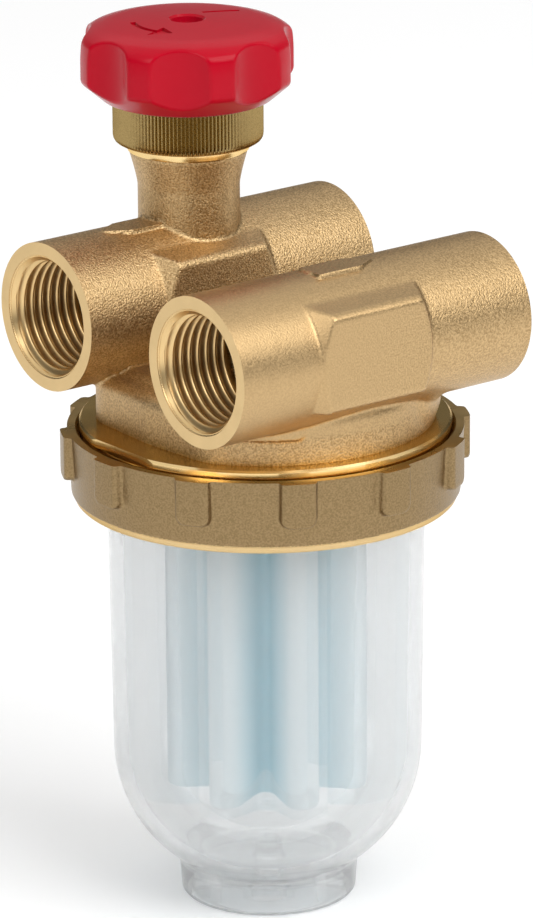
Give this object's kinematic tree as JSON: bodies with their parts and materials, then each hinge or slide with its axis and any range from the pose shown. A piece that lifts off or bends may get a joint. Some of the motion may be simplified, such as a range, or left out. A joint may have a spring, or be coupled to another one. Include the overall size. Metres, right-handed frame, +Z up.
{
  "type": "two-pipe oil filter",
  "caption": "Two-pipe heating oil filter: cast brass head with threaded ports, shut-off valve with red handwheel, union nut, clear cup and star-shaped element.",
  "frame": {"origin": "centre of the underside of the cup's foot", "axes": "+Z up along the cup's axis, +X along the two pipe runs, +Y from the plain return run to the run with the valve"},
  "size_m": [0.0714, 0.0754, 0.154],
  "materials": {
    "cast_brass": "blasted casting with fine grain",
    "nut_brass": "blasted, machined foot ring",
    "turned_brass": "turned and knurled",
    "steel": "zinc plated",
    "rubber": "smooth moulded",
    "clear_plastic": "clear moulded",
    "element_plastic": "fine porous sinter",
    "white_plastic": "moulded",
    "red_plastic": "satin moulded"
  },
  "bodies": {
    "head": {"filter_head": "cast_brass", "bonnet": "turned_brass", "bonnet_seal_ring": "rubber", "cup_seal_ring": "rubber"},
    "disc": {"valve_disc": "turned_brass", "disc_seal": "rubber", "disc_washer": "steel", "disc_screw": "steel"},
    "wheel": {"spindle": "turned_brass", "spindle_seal_lower": "rubber", "spindle_seal_upper": "rubber", "stop_ring": "steel", "handwheel": "red_plastic", "handwheel_washer": "steel", "handwheel_screw": "steel"},
    "bowl": {"cup": "clear_plastic", "slip_ring": "white_plastic"},
    "nut": {"union_nut": "nut_brass"},
    "element": {"filter_element": "element_plastic", "element_cap": "white_plastic", "element_seal_ring": "rubber"}
  },
  "joints": [
    {"name": "valve_lift", "type": "slide", "parent": "head", "child": "disc", "axis": [0, 0, 1], "range_m": [-0.0045, 0]},
    {"name": "handwheel_turn", "type": "hinge", "parent": "disc", "child": "wheel", "pos_m": [0, 0.02115, 0.13], "axis": [0, 0, 1], "range_deg": [-1085, 0]},
    {"name": "bowl_drop", "type": "slide", "parent": "head", "child": "bowl", "axis": [0, 0, 1], "range_m": [-0.006, 0]},
    {"name": "nut_turn", "type": "hinge", "parent": "bowl", "child": "nut", "pos_m": [0, 0, 0.08], "axis": [0, 0, 1], "range_deg": [-1445, 0]},
    {"name": "element_pull", "type": "slide", "parent": "head", "child": "element", "axis": [0, 0, 1], "range_m": [-0.006, 0]}
  ],
  "couplings": [
    {"joint": "handwheel_turn", "follows": "valve_lift", "rad_per_m": 4188.8},
    {"joint": "nut_turn", "follows": "bowl_drop", "rad_per_m": 4188.8}
  ]
}
